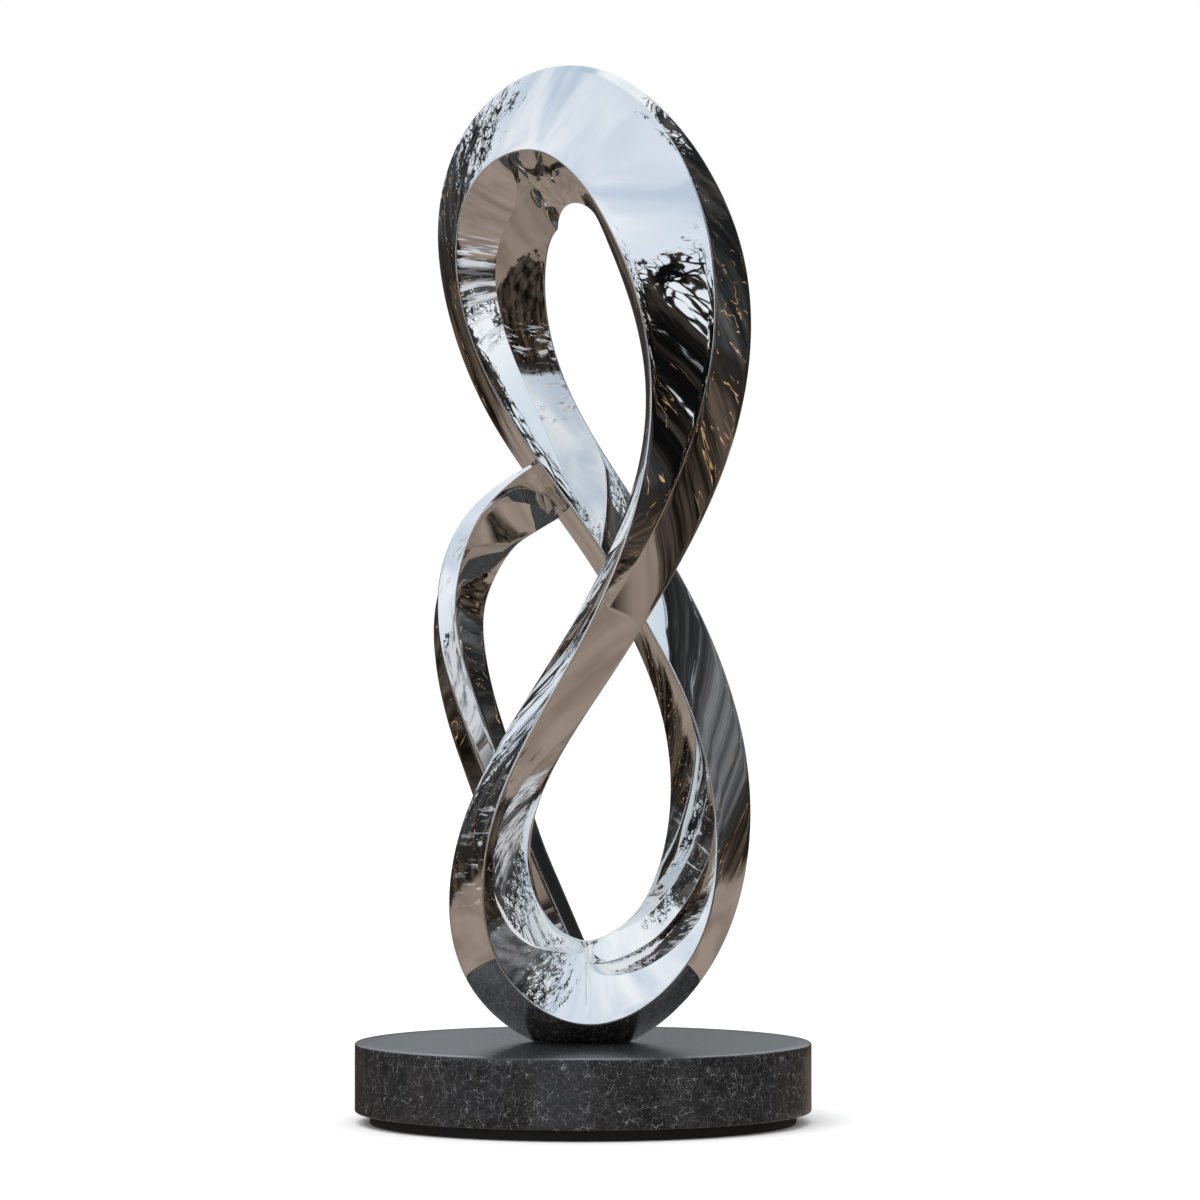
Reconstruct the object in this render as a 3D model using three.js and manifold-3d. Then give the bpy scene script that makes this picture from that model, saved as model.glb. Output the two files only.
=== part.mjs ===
// A twisted band of mirror-polished steel on a round stone plinth.
// The band has three long edges and three long faces, and runs once round a figure of eight. A thinner
// band leaves it behind the crossing, swings out to the left and comes back to it at the foot.
// Millimetres, +Z up, seen from the front along +Y. The origin is the middle of the underside.
import * as THREE from "three";
import { mergeVertices } from "three/addons/utils/BufferGeometryUtils.js";
import Module from "manifold-3d";

const wasm = await Module();
wasm.setup();

// Plinth
const STONE_DIAMETER = 1000;
const STONE_BOTTOM = 25;
const STONE_TOP = 175;
const STONE_EDGE_RADIUS = 5;
const FOOT_DIAMETER = 934;
const TOUCHING_GAP = 0.3;
const ROUND_SIDES = 96;
const EDGE_STEPS = 3;

// Main band. Each row is a station of the leading edge, the edge nearest the front, in the order of
// travel: foot, right of the lower loop, up behind the crossing, left of the upper loop, top, right of
// the upper loop, down in front of the crossing, left of the lower loop.
// x, y, z, then for the side face and for the broad face the width and the turn, which is how many
// degrees the face is swung back from facing the front. The direction of travel is taken between two
// points of the edge, one before and one after the section by the reach given under the table.
const BAND = [
  [15, -110, 220, 150, 62, 234, 40],
  [241, -85, 374, 120, 64, 212, 42],
  [292, -60, 576, 140, 60, 184, 48],
  [233, -28, 905, 136, 42, 150, 64],
  [146, -8, 1079, 139, 32, 150, 73],
  [15, 10, 1288, 142, 28, 153, 76],
  [-172, 13, 1559, 173, 28, 165, 77],
  [-275, 5, 1833, 225, 29, 180, 78],
  [-256, -18, 2026, 245, 32, 196, 67],
  [-190, -46, 2105, 250, 43, 264, 56],
  [-105, -78, 2122, 236, 64, 292, 43],
  [-29, -110, 2075, 228, 82, 324, 41],
  [45, -138, 1968, 222, 87, 338, 39],
  [110, -158, 1814, 218, 87, 334, 40],
  [145, -172, 1575, 200, 88, 260, 38],
  [97, -182, 1294, 145, 82, 165, 33],
  [-17, -180, 1031, 99, 68, 126, 38],
  [-199, -165, 651, 103, 52, 149, 52],
  [-216, -148, 483, 132, 54, 184, 50],
  [-158, -126, 313, 168, 60, 213, 44],
];
const BAND_SECTIONS = 144;
const BAND_REACH = 200;
const FACE_CROWN = 0.02;

// Fold in the broad face, from the top of the upper loop to the crossing. Stations are counted along BAND.
const FOLD_FROM = 10;
const FOLD_TO = 15.6;
const FOLD_RISE = 60;
const FOLD_PLACE_FROM = 0.92;
const FOLD_PLACE_TO = 0.2;

// Side band. Each row is a station of its own leading edge, from the end at the crossing to the foot:
// x, y, z, then the width of its front face, the length of its two flanks and the roll of the section.
const SIDE_BAND = [
  [-24, 54, 1476, 8, 62, 54],
  [-84, 64, 1453, 8, 120, 52],
  [-150, 78, 1410, 14, 145, 41],
  [-223, 85, 1335, 30, 132, 36],
  [-267, 88, 1231, 45, 114, 28],
  [-281, 85, 1136, 42, 110, 16],
  [-272, 75, 1044, 42, 110, 9],
  [-234, 62, 921, 43, 110, 1],
  [-158, 54, 714, 42, 110, -3],
  [-115, 52, 598, 42, 110, -5],
  [-62, 58, 474, 42, 105, -5],
  [-12, 48, 363, 42, 95, -5],
  [60, -15, 225, 42, 65, -5],
];
const SIDE_BAND_SECTIONS = 72;
const SIDE_BAND_REACH = 20;
const FLANK_FLARE = 20;

// Finishes
const mirrorSteel = new THREE.MeshStandardMaterial({
  name: "mirror_steel",
  color: 0xc9c9c6,
  roughness: 0.04,
  metalness: 1,
});
const honedStone = new THREE.MeshStandardMaterial({
  name: "honed_stone",
  color: 0x2b2b2d,
  roughness: 0.55,
  metalness: 0,
});
const blackFoot = new THREE.MeshStandardMaterial({
  name: "black_foot",
  color: 0x0b0b0c,
  roughness: 0.6,
  metalness: 0,
});

const radians = THREE.MathUtils.degToRad;
const FRONT = new THREE.Vector3(0, -1, 0);

// A cubic spline through every row of a table, smooth to its second derivative, measured by the
// distance between the first three columns. Returns its length and the row to be had at a distance.
function smoothTable(rows, closed) {
  const count = rows.length;
  const spanCount = closed ? count : count - 1;
  const row = (i) => rows[(i + count) % count];
  const spans = [];
  const starts = [0];
  for (let i = 0; i < spanCount; i++) {
    const [a, b] = [row(i), row(i + 1)];
    spans.push(Math.hypot(b[0] - a[0], b[1] - a[1], b[2] - a[2]));
    starts.push(starts[i] + spans[i]);
  }
  const bends = rows.map((r) => r.map(() => 0));
  const span = (i) => spans[(i + spanCount) % spanCount];
  const bend = (i) => bends[(i + count) % count];
  for (let sweep = 0; sweep < 60; sweep++) {
    for (let i = closed ? 0 : 1; i < (closed ? count : count - 1); i++) {
      for (let c = 0; c < rows[i].length; c++) {
        const after = (row(i + 1)[c] - row(i)[c]) / span(i);
        const before = (row(i)[c] - row(i - 1)[c]) / span(i - 1);
        const pull = span(i - 1) * bend(i - 1)[c] + span(i) * bend(i + 1)[c];
        bends[i][c] = (6 * (after - before) - pull) / (2 * (span(i - 1) + span(i)));
      }
    }
  }
  const length = starts[spanCount];
  const at = (asked) => {
    const distance = closed ? (asked + length) % length : THREE.MathUtils.clamp(asked, 0, length);
    let i = 0;
    while (i < spanCount - 1 && distance > starts[i + 1]) i++;
    const h = spans[i];
    const b = (distance - starts[i]) / h;
    const a = 1 - b;
    const value = row(i).map((v, c) => {
      const curve = (a ** 3 - a) * bend(i)[c] + (b ** 3 - b) * bend(i + 1)[c];
      return a * v + b * row(i + 1)[c] + (curve * h * h) / 6;
    });
    return { value, point: new THREE.Vector3(...value.slice(0, 3)), station: i + b };
  };
  return { length, at };
}

// The frame of a section: its point on the leading edge, the direction to the right hand of travel as
// seen from the front, and the direction backwards, both square to the edge.
function sectionFrame(point, before, after) {
  const travel = after.clone().sub(before).normalize();
  const front = FRONT.clone().addScaledVector(travel, -FRONT.dot(travel)).normalize();
  const right = new THREE.Vector3().crossVectors(travel, front);
  return { point, right, back: front.negate() };
}

function offset({ point, right, back }, across, depth) {
  return point.clone().addScaledVector(right, across).addScaledVector(back, depth);
}

// Swells a point of a face outwards from the section's middle, by the crown as a share of the face's
// width at the face's own middle and less towards its two edges.
function swollen(point, start, end, middle) {
  const along = end.clone().sub(start);
  const width = along.length();
  along.normalize();
  const out = start.clone().lerp(end, 0.5).sub(middle);
  out.addScaledVector(along, -out.dot(along)).normalize();
  const u = point.clone().sub(start).dot(along) / width;
  return point.clone().addScaledVector(out, 4 * u * (1 - u) * FACE_CROWN * width);
}

// Main band section: leading edge, broad face with its fold, broad edge, back face, side edge, side face.
function bandSection(frame, { value, station }) {
  const [sideWidth, sideTurn, broadWidth, broadTurn] = value.slice(3);
  const side = radians(sideTurn);
  const broad = radians(broadTurn);
  const lead = frame.point;
  const sideEdge = offset(frame, sideWidth * Math.cos(side), sideWidth * Math.sin(side));
  const broadEdge = offset(frame, -broadWidth * Math.cos(broad), broadWidth * Math.sin(broad));
  const along = THREE.MathUtils.clamp((station - FOLD_FROM) / (FOLD_TO - FOLD_FROM), 0, 1);
  const share = THREE.MathUtils.lerp(FOLD_PLACE_FROM, FOLD_PLACE_TO, along);
  const rise = FOLD_RISE * Math.sin(Math.PI * along);
  const fold = lead.clone().lerp(broadEdge, share);
  fold.addScaledVector(frame.right, -rise * Math.sin(broad));
  fold.addScaledVector(frame.back, -rise * Math.cos(broad));
  const half = (a, b) => a.clone().lerp(b, 0.5);
  const middle = lead.clone().add(broadEdge).add(sideEdge).divideScalar(3);
  const broadFace = (point) => swollen(point, lead, broadEdge, middle);
  return [
    lead,
    broadFace(half(lead, fold)),
    broadFace(fold),
    broadFace(half(fold, broadEdge)),
    broadEdge,
    swollen(half(broadEdge, sideEdge), broadEdge, sideEdge, middle),
    sideEdge,
    swollen(half(sideEdge, lead), sideEdge, lead, middle),
  ];
}

// Side band section: a trapezoid, its front face narrow and its two flanks flaring to the back.
function sideBandSection(frame, { value }) {
  const [frontWidth, flank, roll] = value.slice(3);
  const turn = radians(roll);
  const inner = radians(roll + FLANK_FLARE);
  const outer = radians(roll - FLANK_FLARE);
  const corner = [frontWidth * Math.cos(turn), frontWidth * Math.sin(turn)];
  return [
    frame.point,
    offset(frame, -flank * Math.sin(inner), flank * Math.cos(inner)),
    offset(frame, corner[0] - flank * Math.sin(outer), corner[1] + flank * Math.cos(outer)),
    offset(frame, ...corner),
  ];
}

// Skins rings of points, one after another, into triangles, closing on the first ring or with flat ends.
function skin(rings, closed) {
  const sides = rings[0].length;
  const points = rings.flat();
  const faces = [];
  const ringSteps = closed ? rings.length : rings.length - 1;
  for (let i = 0; i < ringSteps; i++) {
    for (let j = 0; j < sides; j++) {
      const here = i * sides;
      const next = ((i + 1) % rings.length) * sides;
      const k = (j + 1) % sides;
      faces.push(here + j, next + k, here + k, here + j, next + j, next + k);
    }
  }
  if (!closed) {
    const last = (rings.length - 1) * sides;
    for (let j = 1; j < sides - 1; j++) {
      faces.push(0, j, j + 1, last, last + j + 1, last + j);
    }
  }
  const geometry = new THREE.BufferGeometry().setFromPoints(points);
  geometry.setIndex(faces);
  return geometry;
}

function sweep(table, closed, sections, reach, section) {
  const route = smoothTable(table, closed);
  const steps = closed ? sections : sections - 1;
  const rings = [];
  for (let i = 0; i < sections; i++) {
    const distance = (route.length * i) / steps;
    const place = route.at(distance);
    const before = route.at(distance - reach).point;
    const after = route.at(distance + reach).point;
    rings.push(section(sectionFrame(place.point, before, after), place));
  }
  return skin(rings, closed);
}

function toSolid(geometry) {
  const bare = geometry.clone();
  bare.deleteAttribute("normal");
  bare.deleteAttribute("uv");
  const merged = mergeVertices(bare, 1e-3);
  const mesh = new wasm.Mesh({
    numProp: 3,
    vertProperties: merged.attributes.position.array,
    triVerts: new Uint32Array(merged.index.array),
  });
  return new wasm.Manifold(mesh);
}

function toGeometry(solid) {
  const { vertProperties, triVerts } = solid.getMesh();
  const geometry = new THREE.BufferGeometry();
  geometry.setAttribute("position", new THREE.BufferAttribute(vertProperties, 3));
  geometry.setIndex(new THREE.BufferAttribute(triVerts, 1));
  geometry.computeVertexNormals();
  return geometry;
}

// The two bands welded together, cut flat where they stand on the stone.
function ribbonSculpture() {
  const main = toSolid(sweep(BAND, true, BAND_SECTIONS, BAND_REACH, bandSection));
  const sideSkin = sweep(SIDE_BAND, false, SIDE_BAND_SECTIONS, SIDE_BAND_REACH, sideBandSection);
  const side = toSolid(sideSkin);
  const cutter = new THREE.BoxGeometry(STONE_DIAMETER, STONE_DIAMETER, STONE_TOP);
  cutter.translate(0, 0, STONE_TOP / 2 + TOUCHING_GAP);
  const welded = main.add(side).subtract(toSolid(cutter));
  return toGeometry(welded);
}

// A quarter-round edge of the disc as seen in profile, from one angle to another.
function roundedEdge(radius, height, from) {
  const points = [];
  for (let i = 0; i <= EDGE_STEPS; i++) {
    const angle = from + (Math.PI / 2) * (i / EDGE_STEPS);
    const x = radius - STONE_EDGE_RADIUS + STONE_EDGE_RADIUS * Math.cos(angle);
    points.push(new THREE.Vector2(x, height + STONE_EDGE_RADIUS * Math.sin(angle)));
  }
  return points;
}

function stoneDisc() {
  const radius = STONE_DIAMETER / 2;
  const profile = [
    new THREE.Vector2(0, STONE_BOTTOM),
    ...roundedEdge(radius, STONE_BOTTOM + STONE_EDGE_RADIUS, -Math.PI / 2),
    ...roundedEdge(radius, STONE_TOP - STONE_EDGE_RADIUS, 0),
    new THREE.Vector2(0, STONE_TOP),
  ];
  return new THREE.LatheGeometry(profile, ROUND_SIDES).rotateX(Math.PI / 2);
}

function recessedFoot() {
  const height = STONE_BOTTOM - TOUCHING_GAP;
  const foot = new THREE.CylinderGeometry(FOOT_DIAMETER / 2, FOOT_DIAMETER / 2, height, ROUND_SIDES);
  return foot.rotateX(Math.PI / 2).translate(0, 0, height / 2);
}

function named(name, geometry, material) {
  const mesh = new THREE.Mesh(geometry, material);
  mesh.name = name;
  return mesh;
}

const sculpture = new THREE.Group();
sculpture.add(named("ribbon_sculpture", ribbonSculpture(), mirrorSteel));
sculpture.add(named("stone_disc", stoneDisc(), honedStone));
sculpture.add(named("recessed_foot", recessedFoot(), blackFoot));

export default sculpture;
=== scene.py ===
"""A twisted band of mirror-polished steel with a thinner side band, on a round plinth of honed stone.

Metres, +Z up, seen from the front along +Y. The origin is the middle of the plinth's underside.
"""

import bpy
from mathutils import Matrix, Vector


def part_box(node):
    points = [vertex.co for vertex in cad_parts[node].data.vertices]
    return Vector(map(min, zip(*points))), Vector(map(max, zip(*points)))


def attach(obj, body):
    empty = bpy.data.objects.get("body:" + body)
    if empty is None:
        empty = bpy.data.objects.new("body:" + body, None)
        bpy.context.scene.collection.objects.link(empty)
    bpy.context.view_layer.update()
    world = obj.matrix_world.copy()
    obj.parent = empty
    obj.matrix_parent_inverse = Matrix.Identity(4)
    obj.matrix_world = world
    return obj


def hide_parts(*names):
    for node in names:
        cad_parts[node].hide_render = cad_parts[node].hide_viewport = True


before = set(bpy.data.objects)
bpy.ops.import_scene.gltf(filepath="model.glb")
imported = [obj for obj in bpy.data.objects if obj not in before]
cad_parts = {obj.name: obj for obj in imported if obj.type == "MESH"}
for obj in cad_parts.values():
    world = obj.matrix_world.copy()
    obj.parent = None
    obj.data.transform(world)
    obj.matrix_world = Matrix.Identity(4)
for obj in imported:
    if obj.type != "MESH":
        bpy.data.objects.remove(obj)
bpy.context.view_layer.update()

import math

import bmesh
import bpy
import numpy as np
from bpy.props import FloatProperty, FloatVectorProperty, IntProperty, PointerProperty

bl_info = {
    "name": "Mirror Band Sculpture",
    "version": (1, 0, 0),
    "blender": (4, 5, 0),
    "location": "View3D > Sidebar > Sculpture",
    "description": "Makes a mirror-polished steel band sculpture on a stone plinth",
    "category": "Add Mesh",
}

STONE_LOW, STONE_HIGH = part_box("stone_disc")
FOOT_LOW, FOOT_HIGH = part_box("recessed_foot")
STEEL_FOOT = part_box("ribbon_sculpture")[0].z

# Main band. Each row is a station of the leading edge, the edge nearest the front, in the order of
# travel: foot, right of the lower loop, up behind the crossing, left of the upper loop, top, right of
# the upper loop, down in front of the crossing, left of the lower loop.
# x, y, z, then for the side face and for the broad face the width and the turn, which is how many
# degrees the face is swung back from facing the front.
BAND = (
    (0.015, -0.110, 0.220, 0.150, 62, 0.234, 40),
    (0.241, -0.085, 0.374, 0.120, 64, 0.212, 42),
    (0.292, -0.060, 0.576, 0.140, 60, 0.184, 48),
    (0.233, -0.028, 0.905, 0.136, 42, 0.150, 64),
    (0.146, -0.008, 1.079, 0.139, 32, 0.150, 73),
    (0.015, 0.010, 1.288, 0.142, 28, 0.153, 76),
    (-0.172, 0.013, 1.559, 0.173, 28, 0.165, 77),
    (-0.275, 0.005, 1.833, 0.225, 29, 0.180, 78),
    (-0.256, -0.018, 2.026, 0.245, 32, 0.196, 67),
    (-0.190, -0.046, 2.105, 0.250, 43, 0.264, 56),
    (-0.105, -0.078, 2.122, 0.236, 64, 0.292, 43),
    (-0.029, -0.110, 2.075, 0.228, 82, 0.324, 41),
    (0.045, -0.138, 1.968, 0.222, 87, 0.338, 39),
    (0.110, -0.158, 1.814, 0.218, 87, 0.334, 40),
    (0.145, -0.172, 1.575, 0.200, 88, 0.260, 38),
    (0.097, -0.182, 1.294, 0.145, 82, 0.165, 33),
    (-0.017, -0.180, 1.031, 0.099, 68, 0.126, 38),
    (-0.199, -0.165, 0.651, 0.103, 52, 0.149, 52),
    (-0.216, -0.148, 0.483, 0.132, 54, 0.184, 50),
    (-0.158, -0.126, 0.313, 0.168, 60, 0.213, 44),
)
BAND_REACH = 0.2
BAND_EDGE_POINTS, BAND_FACE_POINTS = 7, 9

# Fold in the broad face, from the top of the upper loop to the crossing, counted in stations of BAND.
FOLD_FROM, FOLD_TO = 10.0, 15.6
FOLD_RISE = 0.06
FOLD_PLACE_FROM, FOLD_PLACE_TO = 0.92, 0.2

# Side band. Each row is a station of its own leading edge, from the end at the crossing to the foot:
# x, y, z, then the width of its front face, the length of its two flanks and the roll of the section.
SIDE_BAND = (
    (-0.024, 0.054, 1.476, 0.008, 0.062, 54),
    (-0.084, 0.064, 1.453, 0.008, 0.120, 52),
    (-0.150, 0.078, 1.410, 0.014, 0.145, 41),
    (-0.223, 0.085, 1.335, 0.030, 0.132, 36),
    (-0.267, 0.088, 1.231, 0.045, 0.114, 28),
    (-0.281, 0.085, 1.136, 0.042, 0.110, 16),
    (-0.272, 0.075, 1.044, 0.042, 0.110, 9),
    (-0.234, 0.062, 0.921, 0.043, 0.110, 1),
    (-0.158, 0.054, 0.714, 0.042, 0.110, -3),
    (-0.115, 0.052, 0.598, 0.042, 0.110, -5),
    (-0.062, 0.058, 0.474, 0.042, 0.105, -5),
    (-0.012, 0.048, 0.363, 0.042, 0.095, -5),
    (0.060, -0.015, 0.225, 0.042, 0.065, -5),
)
SIDE_BAND_REACH = 0.02
SIDE_EDGE_POINTS, SIDE_FACE_POINTS = 6, 6
FLANK_FLARE = math.radians(20)

FRONT = np.array((0.0, -1.0, 0.0))
LEAST_CUT = 0.0002
GREATEST_CUT_SHARE = 0.4

# Points of the turned disc's profile, the radius its end faces start at, and the foot's edge radius.
QUARTER_POINTS, FLAT_POINTS, WALL_POINTS = 7, 12, 8
CENTRE_RADIUS = 0.02
FOOT_EDGE_RADIUS = 0.001


def length(name, text, default):
    return FloatProperty(name=name, description=text, default=default, min=0.0, unit="LENGTH")


def colour(name, text, default):
    return FloatVectorProperty(
        name=name, description=text, default=default, size=3, min=0.0, max=1.0, subtype="COLOR"
    )


def share(name, text, default):
    return FloatProperty(
        name=name, description=text, default=default, min=0.0, max=1.0, subtype="FACTOR"
    )


class BandSettings(bpy.types.PropertyGroup):
    """Fineness of the two steel bands and their finish."""

    edge_radius: length("Edge radius", "Rounding of the band's long edges", 0.0035)
    fold_radius: length("Fold radius", "Rounding of the fold in the broad face", 0.008)
    crown: share("Crown", "Swell of a face in its middle, as a share of its width", 0.02)
    main_sections: IntProperty(
        name="Main sections", description="Sections along the main band", default=900, min=100
    )
    side_sections: IntProperty(
        name="Side sections", description="Sections along the side band", default=420, min=50
    )
    steel: colour("Steel", "Colour of the polished steel", (0.86, 0.86, 0.85))
    roughness: share("Roughness", "Roughness of the polished steel", 0.012)


class PlinthSettings(bpy.types.PropertyGroup):
    """The stone disc and the foot under it."""

    edge_radius: length("Edge radius", "Rounding of the stone's two edges", 0.004)
    turn_steps: IntProperty(
        name="Turn steps", description="Steps round the disc", default=288, min=48
    )
    stone: colour("Stone", "Main colour of the stone", (0.008, 0.008, 0.0085))
    fleck: colour("Fleck", "Colour of the fine pale flecks", (0.26, 0.26, 0.27))
    foot: colour("Foot", "Colour of the foot", (0.004, 0.004, 0.004))


class StageSettings(bpy.types.PropertyGroup):
    """Camera, floor and light."""

    camera_x: FloatProperty(
        name="Camera to the right", description="Camera's X", default=0.0369, unit="LENGTH"
    )
    camera_back: length("Camera distance", "Camera's distance in front of the axis", 12.92)
    camera_height: length("Camera height", "Camera's height above the floor", 1.143)
    lens: FloatProperty(
        name="Lens", description="Focal length for a sensor 36 mm wide", default=177.0, unit="CAMERA"
    )
    floor_size: length("Floor size", "Side of the square floor", 60.0)


class Route:
    """A smooth curve through rows of numbers, each row a station whose first three are a point.

    Every column is a cubic spline measured by the straight distance between the stations. Its second
    derivatives solve, at each station, (gap before) times the one before, plus twice both gaps times
    its own, plus (gap after) times the next, equal six times the change of slope. A closed curve runs
    on from the last row to the first, and an open one has no bend at its ends.
    """

    def __init__(self, rows, closed):
        self.rows = np.array(rows, float)
        self.closed = closed
        following = np.roll(self.rows, -1, axis=0)
        preceding = np.roll(self.rows, 1, axis=0)
        self.gaps = np.linalg.norm((following - self.rows)[:, :3], axis=1)
        before = np.roll(self.gaps, 1)
        system = (
            np.diag(2 * (before + self.gaps))
            + np.roll(np.diag(before), -1, axis=1)
            + np.roll(np.diag(self.gaps), 1, axis=1)
        )
        slopes_after = (following - self.rows) / self.gaps[:, None]
        slopes_before = (self.rows - preceding) / before[:, None]
        change = 6 * (slopes_after - slopes_before)
        if not closed:
            ends = [0, -1]
            system[ends] = np.eye(len(self.rows))[ends]
            change[ends] = 0
            self.gaps = self.gaps[:-1]
        self.bends = np.linalg.solve(system, change)
        self.starts = np.concatenate([[0.0], np.cumsum(self.gaps)])
        self.length = self.starts[-1]

    def at(self, distance):
        """The row and the station number at each distance: straight blend plus bend times
        (share cubed minus share) times gap squared over six, from each end of the gap."""
        if self.closed:
            distance = distance % self.length
        else:
            distance = np.clip(distance, 0, self.length)
        i = np.clip(np.searchsorted(self.starts, distance, "right") - 1, 0, len(self.gaps) - 1)
        j = (i + 1) % len(self.rows)
        gap = self.gaps[i][:, None]
        b = (distance - self.starts[i])[:, None] / gap
        a = 1 - b
        curve = (a**3 - a) * self.bends[i] + (b**3 - b) * self.bends[j]
        return a * self.rows[i] + b * self.rows[j] + curve * gap**2 / 6, i + b[:, 0]


def unit(vectors):
    return vectors / np.linalg.norm(vectors, axis=-1, keepdims=True)


def section_frames(route, distance, reach):
    """For each section its point, the direction to the right hand of travel as seen from the front,
    and the direction backwards. Travel is from the point one reach before to the point one reach
    after. The front direction is made square to it, and right is travel cross front."""
    point = route.at(distance)[0][:, :3]
    travel = unit(route.at(distance + reach)[0][:, :3] - route.at(distance - reach)[0][:, :3])
    front = unit(FRONT - (travel @ FRONT)[:, None] * travel)
    return point, np.cross(travel, front), -front


def place(frames, across, depth):
    """Point plus across times right plus depth times back."""
    point, right, back = frames
    return point + across[:, None] * right + depth[:, None] * back


def band_corners(route, distance):
    """Corners of the main band's section: leading edge, fold, broad edge, side edge.

    The broad and the side edge lie at their face's width from the leading edge, swung back by its
    turn. The fold lies on the broad face at a share of its width, raised from it by a half sine wave
    along the fold's length.
    """
    values, station = route.at(distance)
    side_width, side_turn, broad_width, broad_turn = values[:, 3:].T
    side, broad = np.radians(side_turn), np.radians(broad_turn)
    frames = section_frames(route, distance, BAND_REACH)
    lead = frames[0]
    side_edge = place(frames, side_width * np.cos(side), side_width * np.sin(side))
    broad_edge = place(frames, -broad_width * np.cos(broad), broad_width * np.sin(broad))
    along = np.clip((station - FOLD_FROM) / (FOLD_TO - FOLD_FROM), 0, 1)
    where = FOLD_PLACE_FROM + (FOLD_PLACE_TO - FOLD_PLACE_FROM) * along
    rise = FOLD_RISE * np.sin(math.pi * along)
    on_face = lead + where[:, None] * (broad_edge - lead)
    fold = place((on_face, frames[1], frames[2]), -rise * np.sin(broad), -rise * np.cos(broad))
    return np.stack([lead, fold, broad_edge, side_edge], axis=1)


def side_band_corners(route, distance):
    """Corners of the side band's section, a trapezoid: leading edge, back of the inner flank, back of
    the outer flank, outer front edge. The flanks flare from the roll by FLANK_FLARE each way."""
    values, _ = route.at(distance)
    front_width, flank, roll = values[:, 3:].T
    turn = np.radians(roll)
    inner, outer = turn + FLANK_FLARE, turn - FLANK_FLARE
    frames = section_frames(route, distance, SIDE_BAND_REACH)
    across, depth = front_width * np.cos(turn), front_width * np.sin(turn)
    none = np.zeros_like(turn)
    return np.stack(
        [
            place(frames, none, none),
            place(frames, -flank * np.sin(inner), flank * np.cos(inner)),
            place(frames, across - flank * np.sin(outer), depth + flank * np.cos(outer)),
            place(frames, across, depth),
        ],
        axis=1,
    )


def rounded_rings(corners, radii, edge_points, face_points):
    """Rings of points round polygons with their corners rounded.

    At a corner whose sides meet at an angle, the rounding starts radius over tan(half angle) before
    it, kept between a fifth of a millimetre and two fifths of the shorter side. It is the curve
    (1-t)^2 start + 2t(1-t) corner + t^2 end. Between two roundings the face is divided evenly.
    """
    to_before = np.roll(corners, 1, axis=1) - corners
    to_after = np.roll(corners, -1, axis=1) - corners
    shorter = np.minimum(np.linalg.norm(to_before, axis=2), np.linalg.norm(to_after, axis=2))
    to_before, to_after = unit(to_before), unit(to_after)
    half = np.arccos(np.clip((to_before * to_after).sum(axis=2), -1, 1)) / 2
    cut = np.clip(radii / np.tan(half), LEAST_CUT, GREATEST_CUT_SHARE * shorter)[..., None]
    start, end = corners + cut * to_before, corners + cut * to_after
    t = np.linspace(0, 1, edge_points)[:, None]
    edge = (
        (1 - t) ** 2 * start[:, :, None]
        + 2 * t * (1 - t) * corners[:, :, None]
        + t**2 * end[:, :, None]
    )
    s = np.linspace(0, 1, face_points + 2)[1:-1, None]
    face = (1 - s) * end[:, :, None] + s * np.roll(start, -1, axis=1)[:, :, None]
    rings = np.concatenate([edge, face], axis=2)
    return rings.reshape(len(corners), -1, 3)


def crown(rings, columns, start, end, middle, swell):
    """Swells the columns of a face outwards from the middle of its section by swell times the face's
    width times 4u(1-u), where u runs from 0 at the face's start to 1 at its end."""
    chord = end - start
    width = np.linalg.norm(chord, axis=-1, keepdims=True)
    along = chord / width
    out = (start + end) / 2 - middle
    out = unit(out - (out * along).sum(axis=-1, keepdims=True) * along)
    offset = rings[:, columns] - start[:, None]
    u = np.clip((offset * along[:, None]).sum(axis=-1) / width, 0, 1)
    rings[:, columns] += (swell * width * 4 * u * (1 - u))[..., None] * out[:, None]


def grid_faces(rows, columns, closed):
    """Quads of a grid whose columns close on themselves, and its rows too when closed."""
    i, j = np.meshgrid(np.arange(rows if closed else rows - 1), np.arange(columns), indexing="ij")
    below, right = (i + 1) % rows, (j + 1) % columns
    corners = (i * columns + j, below * columns + j, below * columns + right, i * columns + right)
    return np.stack(corners, axis=-1).reshape(-1, 4)


def new_piece(name, points, faces, material):
    """A smooth-shaded mesh piece that rides on the part."""
    mesh = bpy.data.meshes.new(name)
    mesh.from_pydata(points.reshape(-1, 3).tolist(), [], faces)
    mesh.polygons.foreach_set("use_smooth", np.ones(len(mesh.polygons), bool))
    mesh.materials.append(material)
    mesh.update()
    piece = bpy.data.objects.new(name, mesh)
    bpy.context.collection.objects.link(piece)
    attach(piece, "root")
    return piece


def cut_flat(mesh, height):
    """Cuts the mesh off at a height and closes it with a flat face with a crisp edge."""
    work = bmesh.new()
    work.from_mesh(mesh)
    parts = work.verts[:] + work.edges[:] + work.faces[:]
    bmesh.ops.bisect_plane(
        work, geom=parts, plane_co=(0, 0, height), plane_no=(0, 0, -1), clear_outer=True
    )
    rim = [edge for edge in work.edges if edge.is_boundary]
    bmesh.ops.contextual_create(work, geom=rim)
    for edge in rim:
        edge.smooth = False
    work.to_mesh(mesh)
    work.free()


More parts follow.
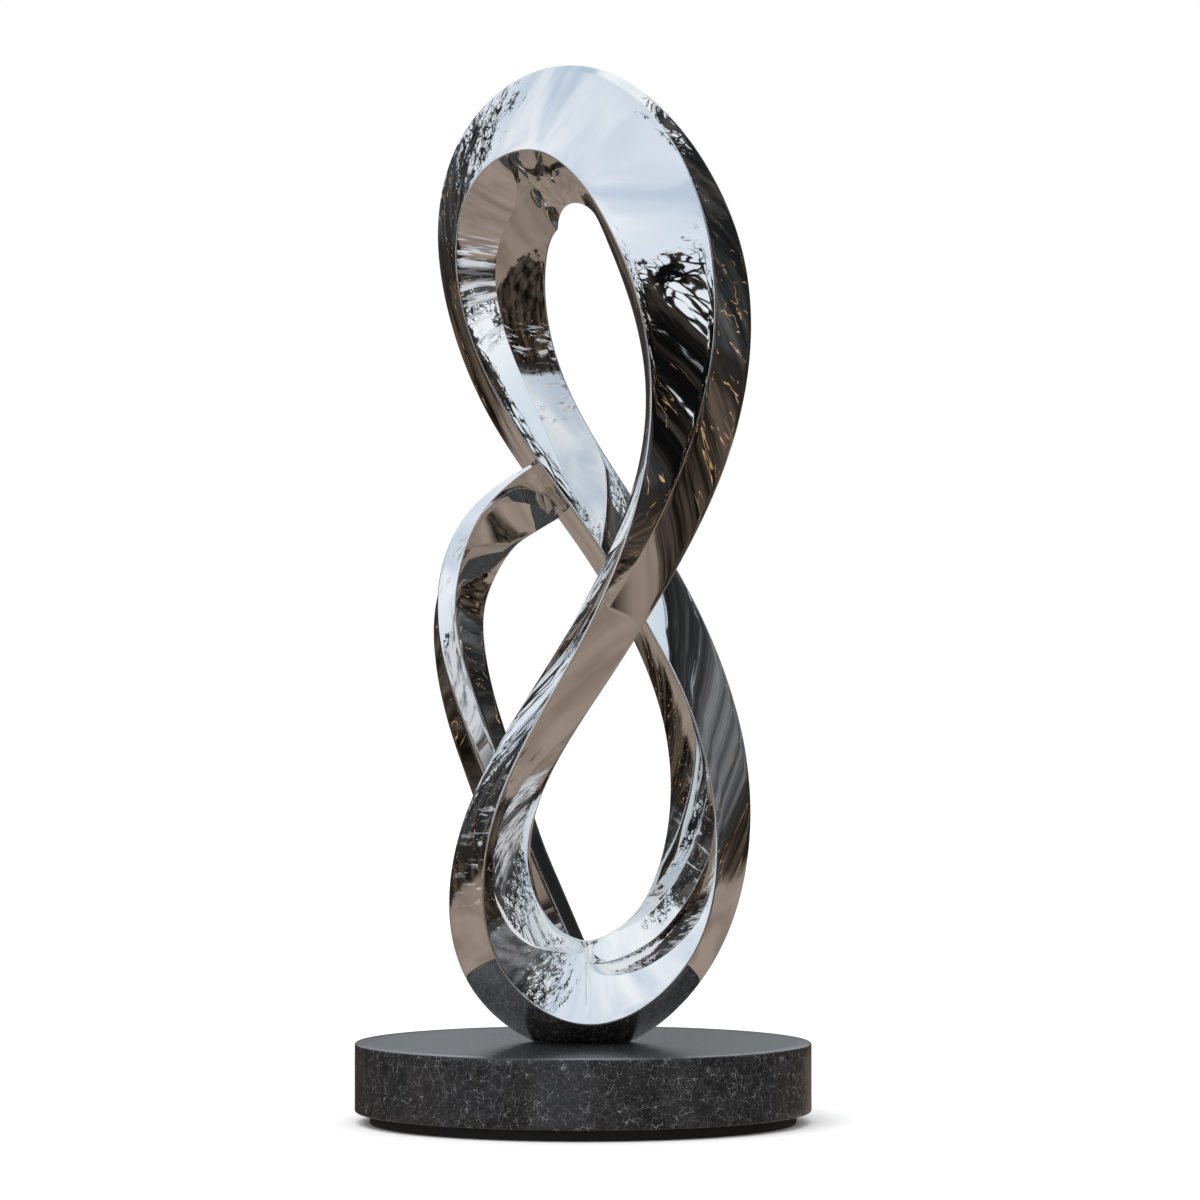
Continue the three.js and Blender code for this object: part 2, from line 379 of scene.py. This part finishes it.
class Signal:
    """An output of a shader node. Sums of signals and numbers add the Math nodes they need."""

    def __init__(self, tree, socket):
        self.tree = tree
        self.socket = socket

    def math(self, operation, *others):
        inputs = dict(enumerate((self, *others)))
        return self.tree.add("ShaderNodeMath", {"operation": operation}, inputs)

    def __add__(self, other):
        return self.math("ADD", other)

    def __mul__(self, other):
        return self.math("MULTIPLY", other)

    def __sub__(self, other):
        return self.math("SUBTRACT", other)

    def __rsub__(self, other):
        return self.tree.add("ShaderNodeMath", {"operation": "SUBTRACT"}, {0: other, 1: self})

    def __truediv__(self, other):
        return self.math("DIVIDE", other)

    __radd__ = __add__

    def ramp(self, low, high):
        """0 up to low, 1 from high on, smooth between."""
        settings = {"interpolation_type": "SMOOTHSTEP"}
        return self.tree.add("ShaderNodeMapRange", settings, {0: self, 1: low, 2: high})


class Tree:
    """The node tree of a material or a world, emptied and built anew."""

    def __init__(self, owner):
        owner.use_nodes = True
        self.nodes = owner.node_tree.nodes
        self.links = owner.node_tree.links
        self.nodes.clear()

    def add(self, kind, settings=None, inputs=None, output=0):
        """A node of a kind: its settings first, then its sockets' values or signals."""
        node = self.nodes.new(kind)
        for name, value in (settings or {}).items():
            if name == "stops":
                while len(node.color_ramp.elements) < len(value):
                    node.color_ramp.elements.new(1.0)
                for element, (position, tint) in zip(node.color_ramp.elements, value):
                    element.position = position
                    element.color = (*tint, 1.0)
            else:
                setattr(node, name, value)
        for name, value in (inputs or {}).items():
            if isinstance(value, Signal):
                self.links.new(value.socket, node.inputs[name])
            else:
                node.inputs[name].default_value = value
        return Signal(self, node.outputs[output]) if node.outputs else node

    def mix(self, factor, low, high):
        """Colour between low and high."""
        low = (*low, 1.0) if isinstance(low, tuple) else low
        high = (*high, 1.0) if isinstance(high, tuple) else high
        return self.add(
            "ShaderNodeMix", {"data_type": "RGBA"}, {0: factor, 6: low, 7: high}, output=2
        )

    def noise(self, where, scale, detail=2.0, roughness=0.5, distortion=0.0, output=0):
        inputs = {
            "Vector": where,
            "Scale": scale,
            "Detail": detail,
            "Roughness": roughness,
            "Distortion": distortion,
        }
        return self.add("ShaderNodeTexNoise", None, inputs, output)

    def place(self, where, scale=(1, 1, 1), turn=(0, 0, 0), move=(0, 0, 0)):
        """Coordinates scaled, turned and moved."""
        inputs = {"Vector": where, "Scale": scale, "Rotation": turn, "Location": move}
        return self.add("ShaderNodeMapping", None, inputs)

    def object_place(self):
        return self.add("ShaderNodeTexCoord", output=3)


# Roughness that haze and polishing marks add to the steel, how bright the hazed steel stays, and the
# strength and height of the waves in the sheet.
HAZE_ROUGHNESS, MARK_ROUGHNESS = 0.012, 0.006
HAZED_BRIGHTNESS = 0.94
WAVE_STRENGTH, WAVE_HEIGHT = 0.1, 0.004


def mirror_polish(settings):
    """Mirror-polished stainless steel: almost smooth, with faint waves of the sheet, a breath of haze
    where hands and weather dull it, and hair-fine polishing marks."""
    material = bpy.data.materials.new("mirror_polish")
    tree = Tree(material)
    where = tree.object_place()
    haze = tree.noise(where, 5.0, 4.0).ramp(0.45, 0.8)
    marks = tree.noise(tree.place(where, (1, 1, 9)), 160.0, 3.0)
    waves = tree.noise(where, 7.0, 1.0)
    steel = tuple(settings.steel)
    hazed = tuple(c * HAZED_BRIGHTNESS for c in steel)
    bump = tree.add(
        "ShaderNodeBump",
        None,
        {"Strength": WAVE_STRENGTH, "Distance": WAVE_HEIGHT, "Height": waves},
    )
    shader = tree.add(
        "ShaderNodeBsdfPrincipled",
        None,
        {
            "Base Color": tree.mix(haze * 0.6, steel, hazed),
            "Metallic": 1.0,
            "Roughness": settings.roughness + haze * HAZE_ROUGHNESS + marks * MARK_ROUGHNESS,
            "Normal": bump,
        },
    )
    tree.add("ShaderNodeOutputMaterial", None, {"Surface": shader})
    return material


# Threads in the stone are the edges of two layers of bent cells. For each layer the cells' scale, the
# distances from an edge at which its thread starts and ends to fade, and how strongly it shows.
THREAD_SCALES = (38.0, 71.0)
BOLD_FADE, FAINT_FADE = (0.006, 0.024), (0.01, 0.05)
BOLD_SHARE, FAINT_SHARE, SPECK_SHARE = 0.5, 0.17, 0.9
THREAD_BEND = (0.05, 0.05, 0.05)

# How many times brighter the stone's light clouds and the dust on the foot are than what is under them.
CLOUD_BRIGHTER, DUST_BRIGHTER = 3.0, 2.5


def charcoal_stone(settings):
    """Dark honed stone: cloudy charcoal with broken threads and small pale specks."""
    material = bpy.data.materials.new("charcoal_stone")
    tree = Tree(material)
    where = tree.object_place()
    wander = tree.noise(where, 26.0, 3.0, output=1)
    bent = tree.add(
        "ShaderNodeVectorMath",
        {"operation": "MULTIPLY_ADD"},
        {0: wander, 1: THREAD_BEND, 2: where},
    )
    wide, narrow = (
        tree.add(
            "ShaderNodeTexVoronoi", {"feature": "DISTANCE_TO_EDGE"}, {"Vector": bent, "Scale": scale}
        )
        for scale in THREAD_SCALES
    )
    worn = tree.noise(where, 52.0, 2.0).ramp(0.44, 0.6)
    spread = tree.noise(where, 33.0, 2.0).ramp(0.36, 0.56)
    bold = (1 - wide.ramp(*BOLD_FADE)) * worn * BOLD_SHARE
    faint = (1 - narrow.ramp(*FAINT_FADE)) * spread * FAINT_SHARE
    grains = tree.add("ShaderNodeTexVoronoi", None, {"Vector": where, "Scale": 190.0})
    chosen = tree.noise(where, 60.0, 1.0).ramp(0.53, 0.63)
    specks = (1 - grains.ramp(0.08, 0.2)) * chosen
    cloud = tree.noise(where, 16.0, 6.0, 0.72)
    fine = tree.noise(where, 150.0, 3.0, 0.6)
    dark = tuple(settings.stone)
    light = tuple(min(1.0, c * CLOUD_BRIGHTER) for c in dark)
    base = tree.mix(cloud.ramp(0.36, 0.66) * 0.5 + fine.ramp(0.3, 0.7) * 0.4, dark, light)
    flecks = bold + faint + specks * SPECK_SHARE
    shader = tree.add(
        "ShaderNodeBsdfPrincipled",
        None,
        {
            "Base Color": tree.mix(flecks, base, tuple(settings.fleck)),
            "Roughness": 0.16 + fine * 0.1,
            "IOR": 1.5,
            "Normal": tree.add(
                "ShaderNodeBump", None, {"Strength": 0.05, "Distance": 0.0005, "Height": fine}
            ),
        },
    )
    tree.add("ShaderNodeOutputMaterial", None, {"Surface": shader})
    return material


def foot_paint(settings):
    """Matt black paint with a slight dusty unevenness."""
    material = bpy.data.materials.new("foot_paint")
    tree = Tree(material)
    dust = tree.noise(tree.object_place(), 30.0, 3.0)
    paint = tuple(settings.foot)
    dusty = tuple(c * DUST_BRIGHTER for c in paint)
    shader = tree.add(
        "ShaderNodeBsdfPrincipled",
        None,
        {"Base Color": tree.mix(dust, paint, dusty), "Roughness": 0.6 + dust * 0.2},
    )
    tree.add("ShaderNodeOutputMaterial", None, {"Surface": shader})
    return material


def kept_material(name, make, settings):
    """The material of that name, made on first use."""
    return bpy.data.materials.get(name) or make(settings)


class SCULPTURE_OT_main_band(bpy.types.Operator):
    """Make the main band, a rounded three-edged section carried once round the figure of eight"""

    bl_idname = "sculpture.main_band"
    bl_label = "Main Band"

    def execute(self, context):
        settings = context.scene.sculpture_band
        route = Route(BAND, closed=True)
        distance = np.arange(settings.main_sections) * route.length / settings.main_sections
        corners = band_corners(route, distance)
        radii = np.array([1.0, 0.0, 1.0, 1.0]) * settings.edge_radius
        radii[1] = settings.fold_radius
        rings = rounded_rings(corners, radii, BAND_EDGE_POINTS, BAND_FACE_POINTS)
        lead, _, broad, side = corners.swapaxes(0, 1)
        middle = (lead + broad + side) / 3
        step, tip = BAND_EDGE_POINTS + BAND_FACE_POINTS, BAND_EDGE_POINTS // 2
        broad_tip, side_tip = 2 * step + tip, 3 * step + tip
        crown(rings, slice(tip + 1, broad_tip), lead, broad, middle, settings.crown)
        crown(rings, slice(broad_tip + 1, side_tip), broad, side, middle, settings.crown)
        crown(rings, slice(side_tip + 1, 4 * step), side, lead, middle, settings.crown)
        faces = grid_faces(rings.shape[0], rings.shape[1], closed=True)
        steel = kept_material("mirror_polish", mirror_polish, settings)
        piece = new_piece("main_band", rings, faces.tolist(), steel)
        cut_flat(piece.data, STEEL_FOOT)
        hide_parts("ribbon_sculpture")
        return {"FINISHED"}


class SCULPTURE_OT_side_band(bpy.types.Operator):
    """Make the side band, a rounded trapezoid whose two ends run into the back of the main band"""

    bl_idname = "sculpture.side_band"
    bl_label = "Side Band"

    def execute(self, context):
        settings = context.scene.sculpture_band
        route = Route(SIDE_BAND, closed=False)
        distance = np.linspace(0, route.length, settings.side_sections)
        corners = side_band_corners(route, distance)
        rings = rounded_rings(corners, settings.edge_radius, SIDE_EDGE_POINTS, SIDE_FACE_POINTS)
        count = rings.shape[1]
        faces = grid_faces(rings.shape[0], count, closed=False).tolist()
        faces.append(list(range(count)))
        faces.append(list(range(rings.shape[0] * count - 1, (rings.shape[0] - 1) * count - 1, -1)))
        steel = kept_material("mirror_polish", mirror_polish, settings)
        piece = new_piece("side_band", rings, faces, steel)
        cut_flat(piece.data, STEEL_FOOT)
        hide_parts("ribbon_sculpture")
        return {"FINISHED"}


def turned_disc(radius, low, high, edge_radius, turns):
    """A disc turned about Z: a profile of centre, bottom edge, top edge and centre, the two edges
    quarter circles of the edge radius, carried round in equal steps."""
    quarter = np.linspace(0, math.pi / 2, QUARTER_POINTS)
    flat = np.linspace(CENTRE_RADIUS, radius - edge_radius, FLAT_POINTS)[:-1]
    wall = np.linspace(low + edge_radius, high - edge_radius, WALL_POINTS)[1:-1]
    out = radius - edge_radius + edge_radius * np.sin(quarter)
    down = low + edge_radius - edge_radius * np.cos(quarter)
    up = high - edge_radius + edge_radius * np.cos(quarter[::-1])
    r = np.concatenate([flat, out, np.full(len(wall), radius), out[::-1], flat[::-1]])
    z = np.concatenate([np.full(len(flat), low), down, wall, up, np.full(len(flat), high)])
    angle = np.arange(turns) * 2 * math.pi / turns
    points = np.stack(
        [
            r[:, None] * np.cos(angle),
            r[:, None] * np.sin(angle),
            np.broadcast_to(z[:, None], (len(z), turns)),
        ],
        axis=-1,
    )
    faces = grid_faces(len(r), turns, closed=False)[:, ::-1].tolist()
    faces.append(list(range(turns - 1, -1, -1)))
    faces.append(list(range((len(r) - 1) * turns, len(r) * turns)))
    return points, faces


class SCULPTURE_OT_plinth(bpy.types.Operator):
    """Make the round stone disc with eased edges and the foot set back under it"""

    bl_idname = "sculpture.plinth"
    bl_label = "Plinth"

    def execute(self, context):
        settings = context.scene.sculpture_plinth
        stone = kept_material("charcoal_stone", charcoal_stone, settings)
        points, faces = turned_disc(
            STONE_HIGH.x, STONE_LOW.z, STONE_HIGH.z, settings.edge_radius, settings.turn_steps
        )
        disc = new_piece("plinth_disc", points, faces, stone)
        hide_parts("stone_disc")
        black = kept_material("foot_paint", foot_paint, settings)
        points, faces = turned_disc(
            FOOT_HIGH.x, FOOT_LOW.z, FOOT_HIGH.z, FOOT_EDGE_RADIUS, settings.turn_steps
        )
        foot = new_piece("plinth_foot", points, faces, black)
        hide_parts("recessed_foot")
        return {"FINISHED"}


FLOOR_COLOUR = (0.93, 0.93, 0.93, 1)
SUN_SPREAD, SUN_ENERGY = math.radians(50), 1.4
SUN_TILT, SUN_TURN = math.radians(25), math.radians(-30)
SENSOR_WIDTH = 36.0


def pale_floor():
    material = bpy.data.materials.new("pale_floor")
    tree = Tree(material)
    shader = tree.add(
        "ShaderNodeBsdfPrincipled", None, {"Base Color": FLOOR_COLOUR, "Roughness": 0.9}
    )
    tree.add("ShaderNodeOutputMaterial", None, {"Surface": shader})
    return material


# What the polished steel mirrors, going round from behind over the left. Azimuth in degrees, 0 in front
# and 90 to the right, then the height of the tree tops in degrees, from 0 to 1 how dense the crowns are
# and how much haze lies on them, how many degrees below the horizon the dark planting reaches, and
# from 0 to 1 how much of the view near the horizon is pale and grey bands of walls and wet paving,
# and how dark a basin of water lies nearer.
SKYLINE = (
    (-180, 12, 0.70, 0.60, 5, 0.0, 0),
    (-156, 14, 0.60, 0.30, 12, 0.0, 0),
    (-145, 44, 0.50, 0.20, 16, 0.0, 0),
    (-136, 62, 0.42, 0.20, 17, 0.0, 0),
    (-122, 40, 0.05, 0.30, 12, 0.0, 0),
    (-100, 44, 0.80, 0.20, 5, 0.2, 0),
    (-88, 40, 0.75, 0.20, 3, 0.2, 0),
    (-76, 12, 0.50, 0.20, 3, 0.3, 0),
    (-66, 6, 0.30, 0.40, 44, 0.35, 0),
    (-44, 5, 0.20, 0.50, 44, 0.25, 0),
    (-28, 6, 0.40, 0.30, 3, 0.1, 0),
    (-19, 42, 0.75, 0.30, 3, 1.0, 0),
    (-2, 44, 0.80, 0.30, 3, 1.0, 0),
    (12, 38, 0.80, 0.30, 3, 0.0, 0),
    (15, 10, 1.00, 0.00, 12, 0.0, 0),
    (23, 24, 1.00, 0.00, 18, 0.0, 0),
    (44, 26, 0.95, 0.00, 18, 0.0, 0),
    (48, 18, 0.25, 0.40, 4, 0.5, 0),
    (55, 22, 0.30, 0.40, 4, 0.5, 0),
    (57, 50, 1.00, 0.10, 10, 0.0, 0),
    (59, 50, 1.00, 0.10, 12, 0.0, 1),
    (71, 50, 0.98, 0.20, 18, 0.0, 1),
    (76, 50, 0.95, 0.30, 22, 0.0, 0),
    (84, 46, 1.00, 0.95, 30, 0.0, 0),
    (108, 28, 1.00, 0.80, 26, 0.0, 0),
    (116, 14, 1.00, 0.40, 5, 0.0, 0),
    (126, 34, 1.00, 0.10, 7, 0.0, 0),
    (144, 46, 1.00, 0.10, 6, 0.0, 0),
    (153, 32, 0.90, 0.20, 4, 0.0, 0),
    (160, 12, 0.50, 0.30, 4, 0.0, 0),
    (180, 12, 0.70, 0.60, 5, 0.0, 0),
)


# Colours of what the steel mirrors, each pair from its darker or lower to its brighter or higher part.
CLEAR_SKY = ((0.62, 0.73, 0.87), (0.50, 0.62, 0.78))
CLOUD = (1.00, 1.04, 1.09)
NEAR_WOOD = ((0.004, 0.004, 0.004), (0.10, 0.085, 0.07))
FAR_WOOD = ((0.07, 0.075, 0.08), (0.26, 0.28, 0.30))
PAVING = ((0.25, 0.195, 0.16), (0.35, 0.285, 0.24))
SOIL = ((0.006, 0.005, 0.004), (0.13, 0.10, 0.08))
WALLS = ((0.20, 0.22, 0.25), (0.78, 0.82, 0.88))
VERGE = (0.022, 0.017, 0.014)
GLINT = (1.15, 0.68, 0.36)

# Middle height and reach above and below it, in degrees, of what lies in a belt round the horizon.
BASIN_BELT = (-42, 11)
WALL_BELT = (3, 20)
VERGE_BELT = (1, 3)
GLINT_BELT = (0, 24)
HORIZON_BLUR = 0.4
DEGREES = 180 / math.pi
UPRIGHT = 90


def belt(height, middle_and_reach, full):
    """1 within the full share of the reach from the middle height, falling to 0 at the reach."""
    middle, reach = middle_and_reach
    return 1 - ((height - middle).math("ABSOLUTE") / reach).ramp(full, 1.0)


def skyline(tree, azimuth):
    """Signals of the table's columns after the azimuth, the two in degrees as shares of UPRIGHT."""
    places = [(row[0] + 180) / 360 for row in SKYLINE]
    crowns = [(top / UPRIGHT, dense, haze) for _, top, dense, haze, *_ in SKYLINE]
    beds = [(depth / UPRIGHT, bands, basin) for *_, depth, bands, basin in SKYLINE]
    columns = []
    for values in (crowns, beds):
        line = tree.add("ShaderNodeValToRGB", {"stops": list(zip(places, values))}, {0: azimuth})
        for n in range(3):
            columns.append(tree.add("ShaderNodeSeparateColor", None, {0: line}, output=n))
    return columns


def clouded_sky(tree, way, height):
    wisps = tree.noise(tree.place(way, (1, 1, 1.3)), 1.6, 5.0, 0.5, 0.6)
    clear = tree.mix((height / 60).ramp(0.2, 1.0), *CLEAR_SKY)
    return tree.mix(wisps.ramp(0.30, 0.70), clear, CLOUD)


def branches(tree, way):
    """1 along boughs and twigs, which are the edges of coarse and fine cells bent by noise."""
    bent = tree.add(
        "ShaderNodeVectorMath",
        {"operation": "MULTIPLY_ADD"},
        {0: tree.noise(way, 9.0, 3.0, output=1), 1: (0.10, 0.10, 0.06), 2: way},
    )
    upright = tree.place(bent, (1, 1, 0.35))
    boughs = tree.add("ShaderNodeTexVoronoi", {"feature": "DISTANCE_TO_EDGE"}, {0: upright, 2: 16.0})
    twigs = tree.add("ShaderNodeTexVoronoi", {"feature": "DISTANCE_TO_EDGE"}, {0: bent, 2: 46.0})
    return (1 - boughs.ramp(0.0, 0.10)).math("MAXIMUM", 1 - twigs.ramp(0.0, 0.16))


def tree_cover(tree, way, height, tops, dense, clumps):
    """1 on trees. They thin out towards their tops, sooner where they are less dense."""
    trunks = tree.noise(tree.place(way, (1, 1, 0.12)), 26.0, 3.0, 0.6)
    fill = 1 - height / (tops * UPRIGHT)
    ragged = (clumps - 0.5) * 1.3 + (trunks - 0.5) * 0.8
    cover = fill * 0.9 + ragged + branches(tree, way) * 0.35 + dense * 0.6
    return cover.ramp(0.72, 0.86)


def wall_bands(tree, way, height, bands):
    """Colour of level bands of walls and wet paving, and where they show."""
    level = tree.noise(tree.place(way, (1, 1, 9)), 4.5, 4.0, 0.6)
    grey = tree.noise(tree.place(way, (2, 2, 14), move=(3, 0, 0)), 3.5, 3.0, 0.6)
    walls = tree.mix(grey.ramp(0.36, 0.54), *WALLS)
    shown = (level + bands * 0.25).ramp(0.61, 0.65) * bands.ramp(0.0, 0.3)
    return walls, shown * belt(height, WALL_BELT, 0.6) * 0.9


def warm_glints(tree, way):
    """1 on small lamps and on the fine threads of light between them."""
    strings = tree.noise(tree.place(way, (1, 1, 1.2)), 7.0, 3.0, 0.55)
    thread = 1 - (strings - 0.5).math("ABSOLUTE").ramp(0.0, 0.005)
    spots = tree.noise(tree.place(way, (1, 1, 0.6)), 48.0, 3.0, 0.6)
    return spots.ramp(0.68, 0.74).math("MAXIMUM", thread * spots.ramp(0.46, 0.6))


def surroundings():
    """White to the eye and as light. In the polished steel: pale clouded sky, bare and hazy trees,
    bands of walls near the horizon, dark planting with warm glints, brown paving and a dark basin."""
    world = bpy.data.worlds.new("surroundings")
    world.cycles.sampling_method = "NONE"
    tree = Tree(world)
    way = tree.add("ShaderNodeTexCoord")
    x, y, z = (tree.add("ShaderNodeSeparateXYZ", None, {0: way}, output=n) for n in range(3))
    azimuth = x.math("ARCTAN2", y * -1) * DEGREES / 360 + 0.5
    height = z.math("ARCSINE") * DEGREES
    tops, dense, haze, depth, bands, basin = skyline(tree, azimuth)
    under = (height * -1).ramp(-HORIZON_BLUR, HORIZON_BLUR)
    clumps = tree.noise(way, 12.0, 5.0, 0.65)
    shade = tree.noise(tree.place(way, (1, 1, 0.2)), 18.0, 4.0, 0.6)

    trees = tree_cover(tree, way, height, tops, dense, clumps)
    near = tree.mix(shade.ramp(0.45, 0.8), *NEAR_WOOD)
    far = tree.mix(shade.ramp(0.3, 0.7), *FAR_WOOD)
    above = tree.mix(trees, clouded_sky(tree, way, height), tree.mix(haze, near, far))

    slabs = tree.noise(tree.place(way, (1, 1, 2.5)), 4.0, 3.0, 0.5)
    paving = tree.mix(slabs.ramp(0.3, 0.7), *PAVING)
    soil = tree.mix(shade.ramp(0.35, 0.75), *SOIL)
    planted = (height + depth * UPRIGHT * (0.6 + clumps * 0.8)).ramp(-1.5, 1.5)
    water = basin * belt(height, BASIN_BELT, 0.6)
    below = tree.mix(planted.math("MAXIMUM", water), paving, soil)

    garden = tree.mix(under, above, below)
    walls, shown = wall_bands(tree, way, height, bands)
    garden = tree.mix(shown, garden, walls)
    garden = tree.mix(belt(height, VERGE_BELT, 0.5) * 0.8, garden, VERGE)
    dark = planted * trees.math("MAXIMUM", under)
    lit = warm_glints(tree, way) * belt(height, GLINT_BELT, 0.4) * dark * 0.85
    garden = tree.mix(lit, garden, GLINT)

    seen = tree.add("ShaderNodeBackground", None, {"Color": garden, "Strength": 1.0})
    white = tree.add("ShaderNodeBackground", None, {"Color": (1, 1, 1, 1), "Strength": 1.0})
    mirrored = tree.add("ShaderNodeLightPath", output=3)
    both = tree.add("ShaderNodeMixShader", None, {0: mirrored, 1: white, 2: seen})
    tree.add("ShaderNodeOutputWorld", None, {"Surface": both})
    return world


class SCULPTURE_OT_stage(bpy.types.Operator):
    """Make the pale floor, the soft light, the surroundings the steel mirrors and the camera"""

    bl_idname = "sculpture.stage"
    bl_label = "Stage"

    def execute(self, context):
        settings = context.scene.sculpture_stage
        scene = context.scene
        half = settings.floor_size / 2
        mesh = bpy.data.meshes.new("floor")
        corners = [(-half, -half, 0), (half, -half, 0), (half, half, 0), (-half, half, 0)]
        mesh.from_pydata(corners, [], [(0, 1, 2, 3)])
        mesh.materials.append(pale_floor())
        floor = bpy.data.objects.new("floor", mesh)
        floor.visible_glossy = False
        scene.collection.objects.link(floor)

        lamp = bpy.data.lights.new("soft_key", "SUN")
        lamp.angle = SUN_SPREAD
        lamp.energy = SUN_ENERGY
        key = bpy.data.objects.new("soft_key", lamp)
        key.rotation_euler = (SUN_TILT, 0, SUN_TURN)
        key.visible_glossy = False
        scene.collection.objects.link(key)

        scene.world = surroundings()
        scene.view_settings.view_transform = "Standard"

        lens = bpy.data.cameras.new("camera")
        lens.lens = settings.lens
        lens.sensor_width = SENSOR_WIDTH
        camera = bpy.data.objects.new("camera", lens)
        camera.location = (settings.camera_x, -settings.camera_back, settings.camera_height)
        camera.rotation_euler = (math.radians(90), 0, 0)
        scene.collection.objects.link(camera)
        scene.camera = camera
        return {"FINISHED"}


class SCULPTURE_PT_panel(bpy.types.Panel):
    """Buttons and settings of the sculpture"""

    bl_label = "Sculpture"
    bl_idname = "SCULPTURE_PT_panel"
    bl_space_type = "VIEW_3D"
    bl_region_type = "UI"
    bl_category = "Sculpture"

    def draw(self, context):
        for label, group, operators in (
            ("Bands", "sculpture_band", (SCULPTURE_OT_main_band, SCULPTURE_OT_side_band)),
            ("Plinth", "sculpture_plinth", (SCULPTURE_OT_plinth,)),
            ("Stage", "sculpture_stage", (SCULPTURE_OT_stage,)),
        ):
            box = self.layout.box()
            box.label(text=label)
            settings = getattr(context.scene, group)
            for name in settings.__annotations__:
                box.prop(settings, name)
            for operator in operators:
                box.operator(operator.bl_idname)


SETTINGS = {
    "sculpture_band": BandSettings,
    "sculpture_plinth": PlinthSettings,
    "sculpture_stage": StageSettings,
}
OPERATORS = (
    SCULPTURE_OT_main_band,
    SCULPTURE_OT_side_band,
    SCULPTURE_OT_plinth,
    SCULPTURE_OT_stage,
)


def register():
    for cls in (*SETTINGS.values(), *OPERATORS, SCULPTURE_PT_panel):
        bpy.utils.register_class(cls)
    for name, group in SETTINGS.items():
        setattr(bpy.types.Scene, name, PointerProperty(type=group))


def unregister():
    for name in SETTINGS:
        delattr(bpy.types.Scene, name)
    for cls in (SCULPTURE_PT_panel, *OPERATORS, *SETTINGS.values()):
        bpy.utils.unregister_class(cls)


def main():
    register()
    bpy.ops.sculpture.main_band()
    bpy.ops.sculpture.side_band()
    bpy.ops.sculpture.plinth()
    bpy.ops.sculpture.stage()


if __name__ == "__main__":
    main()
